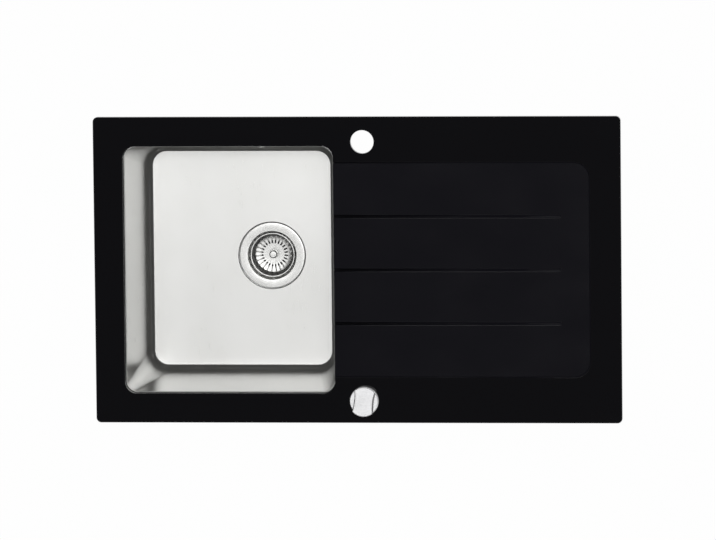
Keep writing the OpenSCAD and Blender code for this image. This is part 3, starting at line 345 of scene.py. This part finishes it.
def skin(mesh, rings):
    """Walls between rings of points. Two neighbours in one plane would be joined criss-cross."""
    for pair in zip(rings, rings[1:]):
        edges = []
        for ring in pair:
            held = set(ring)
            edges += {e for v in ring for e in v.link_edges if e.other_vert(v) in held}
        bmesh.ops.bridge_loops(mesh, edges=edges)


LEAST_STEP = 0.02 * MM
bowl_mesh = bmesh.new()
rings = [rounded_ring(bowl_mesh, FLANGE, FLANGE_R, SHEET - LEAST_STEP)]
for step in range(RIM_STEPS + 1):
    angle = math.pi / 2 * step / RIM_STEPS
    out = RIM_R * (1 - math.sin(angle))
    rings.append(rounded_ring(bowl_mesh, out, BOWL_R + out, SHEET - RIM_R * (1 - math.cos(angle))))
FOOT_START = math.atan(math.tan(WALL_TILT) * FOOT_H / FOOT_W)
for step in range(FOOT_STEPS + 1):
    angle = FOOT_START + (FOOT_END - FOOT_START) * step / FOOT_STEPS
    out = FOOT_W * math.cos(angle)
    rise = EASE_RISE + FOOT_H * (math.sin(FOOT_END) - math.sin(angle))
    rings.append(rounded_ring(bowl_mesh, out - DRAFT - FOOT_W, FLOOR_R + out, BOWL_FLOOR + rise))
for step in range(1, EASE_STEPS + 1):
    inward = out - EASE_W * step / EASE_STEPS
    rise = LEAST_STEP + (EASE_RISE - LEAST_STEP) * (1 - step / EASE_STEPS) ** 2
    rings.append(rounded_ring(bowl_mesh, inward - DRAFT - FOOT_W, FLOOR_R + inward, BOWL_FLOOR + rise))
SEAT_EDGE = ((1.0, 0.0), (0.5, 0.05), (0.1, 0.2), (-0.1, 0.8), (-0.4, 0.95), (-1.0, 1.0))
for out, share in SEAT_EDGE:
    rings.append(round_ring(bowl_mesh, SEAT_R + out * MM, BOWL_FLOOR - share * SEAT_DROP))
rings.append(round_ring(bowl_mesh, HOLE_R, BOWL_FLOOR - SEAT_DROP - LEAST_STEP))
skin(bowl_mesh, rings)
bmesh.ops.recalc_face_normals(bowl_mesh, faces=bowl_mesh.faces)
if sum(f.normal.z * f.calc_area() for f in bowl_mesh.faces) < 0:
    bmesh.ops.reverse_faces(bowl_mesh, faces=bowl_mesh.faces)

satin_steel = finish("satin_steel", (0.69, 0.69, 0.675), 1.0, 0.3)
brushing = grain(satin_steel, (2600, 30, 260), 4.0)
cloud = grain(satin_steel, (12, 9, 12), 2.0)
clouded = spread(satin_steel, cloud, 0.0, 1.0)
stain = spread(satin_steel, cloud, 0.0, 0.015)
wire(
    satin_steel,
    Base_Color=mix(satin_steel, clouded, (0.675, 0.675, 0.659), (0.705, 0.705, 0.692)),
    Roughness=maths(satin_steel, spread(satin_steel, brushing, 0.27, 0.31), stain),
    Normal=relief(satin_steel, brushing, 0.000004),
)
bowl = new_piece("bowl_shell", bowl_mesh, satin_steel, "root", "bowl_steel", "bowl")
wall = bowl.modifiers.new("sheet", "SOLIDIFY")
wall.thickness = SHEET
wall.offset = -1
wall.use_even_offset = True

OVERFLOW_Z = -55 * MM
OVERFLOW_Y = BOWL_W / 2 + OVERFLOW_Z * math.tan(WALL_TILT)
PUNCH_R = 12 * MM
PUNCH_L = 12 * MM
to_overflow = Matrix.Translation((WASTE_X, OVERFLOW_Y, OVERFLOW_Z))
to_overflow @= Matrix.Rotation(math.pi / 2 - WALL_TILT, 4, "X")
punch_mesh = bmesh.new()
bmesh.ops.create_cone(
    punch_mesh,
    cap_ends=True,
    segments=48,
    radius1=PUNCH_R,
    radius2=PUNCH_R,
    depth=PUNCH_L,
    matrix=to_overflow,
)


def cut_out(piece, mesh):
    """Cuts a closed mesh out of a piece, after the piece's other modifiers, and keeps the result."""
    data = bpy.data.meshes.new("cutter")
    mesh.to_mesh(data)
    mesh.free()
    cutter = bpy.data.objects.new("cutter", data)
    scene.collection.objects.link(cutter)
    cut = piece.modifiers.new("cut", "BOOLEAN")
    cut.object = cutter
    cut.solver = "EXACT"
    graph = bpy.context.evaluated_depsgraph_get()
    made = bpy.data.meshes.new_from_object(piece.evaluated_get(graph), depsgraph=graph)
    piece.modifiers.clear()
    piece.data = made
    bpy.data.objects.remove(cutter)


cut_out(bowl, punch_mesh)
smooth(bowl, 40)
# The press leaves a fine line where the foot meets the floor.
foot_line = BOWL_FLOOR + EASE_RISE
for edge in bowl.data.edges:
    if all(abs(bowl.data.vertices[i].co.z - foot_line) < LEAST_STEP for i in edge.vertices):
        edge.use_edge_sharp = True
weigh(bowl)


# Bond. Black adhesive cured between the steel flange and the glass. It is squeezed out into the
# cut-out as a bead that fills the step, and is drawn off with a finger, so its face is hollow.
def dull_black(name, light, dark, scale, depth, roughness):
    """Rubber-like black with a fine cell of the given scale."""
    material = finish(name, light, 0.0, roughness)
    cells = grain(material, (scale, scale, scale), 3.0)
    cloud = grain(material, (30, 30, 30), 2.0)
    wire(
        material,
        Base_Color=mix(material, spread(material, cloud, 0.0, 1.0), dark, light),
        Roughness=spread(material, cells, roughness - 0.08, roughness + 0.08),
        Normal=relief(material, cells, depth),
    )
    return material


BOND_OUT = FLANGE - LEAST_STEP
GLASS_UNDER = 2 * MM
BEAD_OUT = 1.95 * MM
BEAD_IN = 1.1 * MM
BEAD_TOP = 4.2 * MM
BEAD_STEPS = 5
bond_mesh = bmesh.new()
rings = [
    rounded_ring(bond_mesh, BOND_OUT, FLANGE_R, SHEET),
    rounded_ring(bond_mesh, BOND_OUT, FLANGE_R, GLASS_UNDER),
    rounded_ring(bond_mesh, BEAD_OUT, BOWL_R, GLASS_UNDER - LEAST_STEP),
]
for step in range(BEAD_STEPS + 1):
    angle = math.pi / 2 * step / BEAD_STEPS
    out = BEAD_OUT - (BEAD_OUT - BEAD_IN) * (1 - math.cos(angle))
    rise = LEAST_STEP + (BEAD_TOP - SHEET) * (1 - math.sin(angle))
    rings.append(rounded_ring(bond_mesh, out, BOWL_R, SHEET + rise))
skin(bond_mesh, rings + rings[:1])
bmesh.ops.recalc_face_normals(bond_mesh, faces=bond_mesh.faces)
bond_black = dull_black("bond", (0.012, 0.012, 0.013), (0.008, 0.008, 0.009), 200, 0.00002, 0.45)
bond = new_piece("bond_bead", bond_mesh, bond_black, "root", "bond", "bowl_bond")
smooth(bond, 40)


# Strainer seat, its hollow screw, the basket with its button and the overflow's cover. Deep drawn
# and turned from stainless steel, then polished brighter than the bowl, with rings from the lathe.
def turned_steel(name, colour, roughness, centre):
    """Polished metal with fine rings round an upright axis."""
    material = finish(name, colour, 1.0, roughness)
    tree = material.node_tree
    place = add(tree, "TexCoord", {}).outputs["Object"]
    place = add(tree, "Mapping", {"Vector": place, "Location": [-c for c in centre]}).outputs[0]
    flat = add(tree, "VectorMath", {0: place, 1: (1, 1, 0)}, operation="MULTIPLY").outputs[0]
    radius = add(tree, "VectorMath", {0: flat}, operation="LENGTH").outputs["Value"]
    along = add(tree, "SeparateXYZ", {0: place}).outputs["Z"]
    rings = add(tree, "CombineXYZ", {0: radius, 1: along}).outputs[0]
    lathe = add(tree, "TexNoise", {"Vector": rings, "Scale": 1800.0, "Detail": 2.0}).outputs[0]
    cloud = grain(material, (40, 40, 40), 2.0)
    shade = [0.96 * c for c in colour]
    cut = spread(material, lathe, roughness - 0.03, roughness + 0.03)
    wire(
        material,
        Base_Color=mix(material, spread(material, cloud, 0.0, 1.0), shade, colour),
        Roughness=maths(material, cut, spread(material, cloud, 0, 0.02)),
        Normal=relief(material, lathe, 0.000003),
    )
    return material


strainer_steel = turned_steel("strainer_steel", (0.70, 0.70, 0.685), 0.26, (WASTE_X, WASTE_Y, 0))
give(strainer_steel, "waste_screw", "overflow_screw")


def smoothed(name, body, material, slot, node):
    """A merged copy of a CAD node with smooth round faces, in the node's place."""
    piece = new_piece(name, merged_copy(node), material, body, slot, node)
    smooth(piece, 30)
    weigh(piece)
    return piece


smoothed("strainer_seat", "root", strainer_steel, "strainer_steel", "waste_flange")
smoothed("overflow_plate", "root", strainer_steel, "strainer_steel", "overflow_cover")


SPIN_WELD = 1e-7


def turned(outline, centre, steps=96):
    """A closed shape turned round an upright axis; the outline is (radius, height) in millimetres."""
    mesh = bmesh.new()
    points = [mesh.verts.new((radius * MM, 0, height * MM)) for radius, height in outline]
    lines = [mesh.edges.new(pair) for pair in zip(points, points[1:])]
    bmesh.ops.spin(
        mesh,
        geom=points + lines,
        cent=(0, 0, 0),
        axis=(0, 0, 1),
        angle=2 * math.pi,
        steps=steps,
        use_merge=True,
    )
    bmesh.ops.remove_doubles(mesh, verts=mesh.verts, dist=SPIN_WELD)
    bmesh.ops.recalc_face_normals(mesh, faces=mesh.faces)
    bmesh.ops.translate(mesh, verts=mesh.verts, vec=centre)
    return mesh


def rounded(centre, radius, start, end, steps=5):
    """Points of an arc round a corner, in degrees."""
    angles = [math.radians(start + (end - start) * k / steps) for k in range(steps + 1)]
    return [(centre[0] + radius * math.cos(a), centre[1] + radius * math.sin(a)) for a in angles]


BASKET_FOOT = Vector((WASTE_X, WASTE_Y, -220 * MM))
BASKET_LINE = (
    (0, 0), (23.6, 0), (30.6, 1.0), (31.5, 1.7), (32.0, 3.2), (35.55, 20.9), (35.9, 21.4),
    (36.5, 21.5), (36.8, 21.9), (36.7, 22.4), (36.4, 22.65), (36.0, 22.7), (35.2, 22.7),
    (34.9, 22.6), (34.75, 22.3), (34.7, 21.2), (31.3, 3.6), (30.9, 2.6), (30.2, 1.95),
    (23.6, 0.8), (0, 0.8),
)
SLOTS = 24
SLOT_IN, SLOT_OUT = 17.3 * MM, 30.6 * MM
SLOT_W = 2.6 * MM
SLOT_H = 16 * MM
SLOT_ROUND = 0.48 * SLOT_W
basket_mesh = turned(BASKET_LINE, BASKET_FOOT, steps=144)
basket = new_piece("strainer_basket", basket_mesh, strainer_steel, "basket", "strainer_steel", "basket")
slot_mesh = bmesh.new()
SLOT_SIZE = Matrix.Diagonal((SLOT_OUT - SLOT_IN, SLOT_W, SLOT_H, 1))
for k in range(SLOTS):
    stand = Matrix.Rotation(2 * math.pi / SLOTS * (k + 0.5), 4, "Z")
    stand @= Matrix.Translation(((SLOT_IN + SLOT_OUT) / 2, 0, 0)) @ SLOT_SIZE
    bmesh.ops.create_cube(slot_mesh, size=1, matrix=Matrix.Translation(BASKET_FOOT) @ stand)
uprights = [e for e in slot_mesh.edges if abs(e.verts[0].co.z - e.verts[1].co.z) > SLOT_H / 2]
bmesh.ops.bevel(
    slot_mesh, geom=uprights, offset=SLOT_ROUND, segments=6, profile=0.5, affect="EDGES", material=-1
)
cut_out(basket, slot_mesh)
smooth(basket, 35)
weigh(basket)

BUTTON_FOOT = Vector((WASTE_X, WASTE_Y, -219.2 * MM))
button_line = [(0, 0), (6.5, 0), (6.5, 1.0)]
button_line += rounded((7.4, 6.4), 2.5, 240, 130)
button_line += rounded((5.4, 12.4), 1.1, -50, 0, 3) + rounded((4.5, 13.0), 2.0, 0, 90) + [(0, 15)]
button_mesh = turned(button_line, BUTTON_FOOT)
button = new_piece("button", button_mesh, strainer_steel, "basket", "strainer_steel", "basket_button")
smooth(button, 35)
weigh(button)


# Knob and the nut under it. Zinc castings, polished and chrome plated. The knob is turned, undercut
# at its foot and hollowed on both sides of a grip. Its outlines are in millimetres.
KNOB_X = 10 * MM
KNOB_Y = -214 * MM
KNOB_Z = 16.3 * MM
chrome = turned_steel("chrome", (0.80, 0.80, 0.81), 0.27, (KNOB_X, KNOB_Y, 0))
smoothed("rosette_ring", "root", chrome, "chrome", "rosette")
KNOB_R = 23.75
KNOB_H = 13.7
LEDGE_H = 3.7
GRIP_HALF = 14.5
GRIP_ARC = 82
FOOT_FILLET = 1.8
TOP_ROUND = 0.9
GRIP_TURN = math.radians(-7)
UNDERCUT = 2.2
FOOT_CHAMFER = 0.4
SOCKET_R, SOCKET_H = 5, 8.7
CUTTER_OVER = 2
foot_r = KNOB_R - UNDERCUT
blank_line = [(0, SOCKET_H), (SOCKET_R, SOCKET_H), (SOCKET_R, 0)]
blank_line += [(foot_r - FOOT_CHAMFER, 0), (foot_r, FOOT_CHAMFER)]
blank_line += rounded((KNOB_R - TOP_ROUND, KNOB_H - TOP_ROUND), TOP_ROUND, 0, 90) + [(0, KNOB_H)]
knob_mesh = turned(blank_line, (0, 0, 0), steps=128)
knob = new_piece("knob_body", knob_mesh, chrome, "knob", "chrome", "knob")
cutter_line = [(0, LEDGE_H), (GRIP_ARC - FOOT_FILLET, LEDGE_H)]
cutter_line += rounded((GRIP_ARC - FOOT_FILLET, LEDGE_H + FOOT_FILLET), FOOT_FILLET, -90, 0)[1:]
cutter_line += rounded((GRIP_ARC + TOP_ROUND, KNOB_H - TOP_ROUND), TOP_ROUND, 180, 90)
cutter_line += [(GRIP_ARC + TOP_ROUND, KNOB_H + CUTTER_OVER), (0, KNOB_H + CUTTER_OVER)]
for side in (-1, 1):
    cut_out(knob, turned(cutter_line, (side * (GRIP_HALF + GRIP_ARC) * MM, 0, 0), steps=240))
knob.data.transform(Matrix.Translation((KNOB_X, KNOB_Y, KNOB_Z)) @ Matrix.Rotation(GRIP_TURN, 4, "Z"))
smooth(knob, 35)
weigh(knob)


# Clamps, clips, screws and wires. Bent, turned or drawn from steel and zinc plated, with the faint
# cloudy bloom of the plating.
zinc = finish("zinc_plate", (0.52, 0.53, 0.55), 1.0, 0.38)
bloom = grain(zinc, (160, 160, 160), 4.0)
scuff = grain(zinc, (900, 900, 900), 2.0)
wire(
    zinc,
    Base_Color=mix(zinc, spread(zinc, bloom, 0.0, 1.0), (0.46, 0.47, 0.50), (0.60, 0.60, 0.60)),
    Roughness=maths(zinc, spread(zinc, bloom, 0.30, 0.44), spread(zinc, scuff, 0.0, 0.08)),
    Normal=relief(zinc, scuff, 0.00002),
)
legs = [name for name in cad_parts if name.startswith("clamp_leg_")]
give(zinc, "clamp_studs", "clamp_nuts", *legs)
give(zinc, "ferrule_clips", "spindle_clip", "cable_ferrules", "hose_clips")
give(zinc, "control_screws", "fork_wire", "rack_wire")


# Spindle and crank. Turned from brass rod and left bare, so that they are slightly tarnished. Each
# is pressed into its plastic gear or lever.
brass = finish("brass", (0.68, 0.52, 0.27), 1.0, 0.3)
tarnish = grain(brass, (120, 120, 120), 4.0)
wire(
    brass,
    Base_Color=mix(brass, spread(brass, tarnish, 0.0, 1.0), (0.50, 0.36, 0.17), (0.72, 0.56, 0.30)),
    Roughness=spread(brass, tarnish, 0.38, 0.22),
    Normal=relief(brass, grain(brass, (1500, 1500, 1500), 2.0), 0.00001),
)
give(brass, "spindle", "crank_shaft")


# Gaskets and seals. Moulded rubber, a closed-cell foam strip under the glass, and a sheet of
# bitumen that deadens the bowl's floor.
rubber = dull_black("rubber", (0.03, 0.03, 0.03), (0.018, 0.018, 0.018), 900, 0.00003, 0.62)
give(rubber, "flange_gasket", "body_gasket", "basket_seal", "shaft_seal")
give(rubber, "overflow_gasket", "control_gasket", "rosette_washer")
give(dull_black("foam", (0.05, 0.05, 0.05), (0.03, 0.03, 0.03), 700, 0.0002, 0.85), "rim_seal")
give(dull_black("bitumen", (0.05, 0.05, 0.05), (0.03, 0.03, 0.03), 350, 0.0003, 0.8), "sound_pad")


# Moulded plastic: the waste body, the control's box, the overflow elbow and the levers in dark
# polypropylene with a spark-eroded grain, the gears in white acetal.
def moulded(name, light, dark, roughness):
    """Plastic with the fine grain of its mould."""
    material = finish(name, light, 0.0, roughness)
    eroded = grain(material, (2200, 2200, 2200), 2.0)
    cloud = grain(material, (25, 25, 25), 3.0)
    pitted = spread(material, eroded, roughness - 0.06, roughness + 0.04)
    wire(
        material,
        Base_Color=mix(material, spread(material, cloud, 0.0, 1.0), dark, light),
        Roughness=maths(material, pitted, spread(material, cloud, 0, 0.06)),
        Normal=relief(material, eroded, 0.00003),
    )
    return material


plastic = moulded("plastic", (0.06, 0.06, 0.065), (0.045, 0.045, 0.05), 0.45)
give(plastic, "waste_body", "crank_lever", "cable_fork", "basket_stem")
give(plastic, "overflow_elbow", "control_housing", "control_cover")
give(moulded("acetal", (0.75, 0.74, 0.70), (0.68, 0.67, 0.63), 0.35), "pinion", "rack", "lift_pin")


# Overflow hose. A corrugated tube of light grey polyethylene with a plain cuff at each end, which
# hangs down the back of the bowl and bends round to the waste body's port.
SPIGOT_IN = 18.1 * MM
HOSE_TOP = 12 * MM
HOSE_BEND = 50 * MM
HOSE_END_Y = WASTE_Y + 58 * MM
PORT_Z = -216.2 * MM
HOSE_ROOT_R = 9.8 * MM
HOSE_BORE_R = 8.6 * MM
HOSE_CUFF = 22 * MM
RIB_H = 1.2 * MM
RIB_PITCH = 4 * MM
RIB_RISE = ((-1.25, 0), (-0.95, 0.25), (-0.75, 0.75), (-0.4, 1))
RIB_SHAPE = RIB_RISE + tuple((-along, share) for along, share in RIB_RISE[::-1])
HOSE_CHAMFER = 0.4 * MM
BORE_INSET = 0.3 * MM
HOSE_SIDES = 32

outward = Vector((0, math.cos(WALL_TILT), -math.sin(WALL_TILT)))
downward = Vector((0, -math.sin(WALL_TILT), -math.cos(WALL_TILT)))
hose_start = Vector((WASTE_X, OVERFLOW_Y, OVERFLOW_Z)) + SPIGOT_IN * outward + HOSE_TOP * downward
bend_top_z = PORT_Z + HOSE_BEND * (1 - math.sin(WALL_TILT))
drop_l = (hose_start.z - bend_top_z) / math.cos(WALL_TILT)
bend_l = HOSE_BEND * (math.pi / 2 - WALL_TILT)
bend_y = (hose_start + drop_l * downward).y - HOSE_BEND * math.cos(WALL_TILT)
hose_l = drop_l + bend_l + bend_y - HOSE_END_Y


def hose_point(gone):
    """Point of the hose's axis at a distance from its upper end."""
    if gone < drop_l:
        return hose_start + gone * downward
    if gone < drop_l + bend_l:
        angle = WALL_TILT + (gone - drop_l) / HOSE_BEND
        aside, above = HOSE_BEND * math.cos(angle), HOSE_BEND * (1 - math.sin(angle))
        return Vector((WASTE_X, bend_y + aside, PORT_Z + above))
    return Vector((WASTE_X, bend_y - (gone - drop_l - bend_l), PORT_Z))


def swept(mesh, course, sides):
    """Circles along a course of points and radii, each square to it."""
    turn = Quaternion()
    facing = Vector((0, 0, 1))
    made = []
    for before, here, after in zip(course[:1] + course, course, course[1:] + course[-1:]):
        ahead = (after[0] - before[0]).normalized()
        turn = facing.rotation_difference(ahead) @ turn
        facing = ahead
        stand = Matrix.Translation(here[0]) @ turn.to_matrix().to_4x4()
        made.append(bmesh.ops.create_circle(mesh, segments=sides, radius=here[1], matrix=stand)["verts"])
    return made


drop_ribs = int((drop_l - HOSE_CUFF) / RIB_PITCH)
bend_ribs = int(bend_l / RIB_PITCH)
flat_ribs = int((bend_y - HOSE_END_Y - HOSE_CUFF) / RIB_PITCH)
ribs = [drop_l - k * RIB_PITCH for k in range(drop_ribs, -1, -1)]
ribs += [drop_l + k * bend_l / bend_ribs for k in range(1, bend_ribs)]
ribs += [drop_l + bend_l + k * RIB_PITCH for k in range(flat_ribs + 1)]
end_r = HOSE_ROOT_R - HOSE_CHAMFER
outside = [(hose_point(0), end_r), (hose_point(HOSE_CHAMFER), HOSE_ROOT_R)]
for middle in ribs:
    outside += [(hose_point(middle + along * MM), HOSE_ROOT_R + share * RIB_H) for along, share in RIB_SHAPE]
outside += [(hose_point(hose_l - HOSE_CHAMFER), HOSE_ROOT_R), (hose_point(hose_l), end_r)]
inside = [(hose_point(BORE_INSET), HOSE_BORE_R)]
inside += [(hose_point(middle), HOSE_BORE_R) for middle in ribs]
inside += [(hose_point(hose_l - BORE_INSET), HOSE_BORE_R)]
hose_mesh = bmesh.new()
outer_rings = swept(hose_mesh, outside, HOSE_SIDES)
inner_rings = swept(hose_mesh, inside, HOSE_SIDES)
skin(hose_mesh, outer_rings + inner_rings[::-1] + outer_rings[:1])
bmesh.ops.recalc_face_normals(hose_mesh, faces=hose_mesh.faces)
hose_grey = moulded("hose_grey", (0.66, 0.66, 0.65), (0.60, 0.60, 0.59), 0.42)
hose = new_piece("hose_corrugated", hose_mesh, hose_grey, "root", "hose", "overflow_hose")
smooth(hose, 60)


# Cable. A black plastic sheath over a steel wire, from the control down beside the bowl to the
# waste body, held in a ferrule at each end.
CABLE_ROUTE = (
    (20.13, -169.9, -14), (20.13, -153.9, -14), (20, -125.05, -22.68), (16, -96.2, -60.48),
    (6, -73.12, -120.96), (-4, -58.12, -180), (-22, -46.58, -235), (-55, -39.65, -262),
    (-96.9, -38.5, -270.58), (-116.9, -38.5, -270.58),
)
CABLE_R = 2.5 * MM
CABLE_STEPS = 12
CABLE_SIDES = 20
route = [Vector(point) * MM for point in CABLE_ROUTE]
knots = route[:1] + route + route[-1:]
course = []
for a, b, c, d in zip(knots, knots[1:], knots[2:], knots[3:]):
    for step in range(CABLE_STEPS):
        t = step / CABLE_STEPS
        bow = 2 * b + (c - a) * t + (2 * a - 5 * b + 4 * c - d) * t ** 2 + (3 * b - a - 3 * c + d) * t ** 3
        course.append((bow / 2, CABLE_R))
course.append((route[-1], CABLE_R))
cable_mesh = bmesh.new()
skin(cable_mesh, swept(cable_mesh, course, CABLE_SIDES))
bmesh.ops.holes_fill(cable_mesh, edges=cable_mesh.edges, sides=0)
bmesh.ops.recalc_face_normals(cable_mesh, faces=cable_mesh.faces)
sheath_black = moulded("sheath_black", (0.035, 0.035, 0.037), (0.025, 0.025, 0.027), 0.4)
cable = new_piece("cable_cover", cable_mesh, sheath_black, "root", "sheath", "cable_sheath")
smooth(cable, 60)
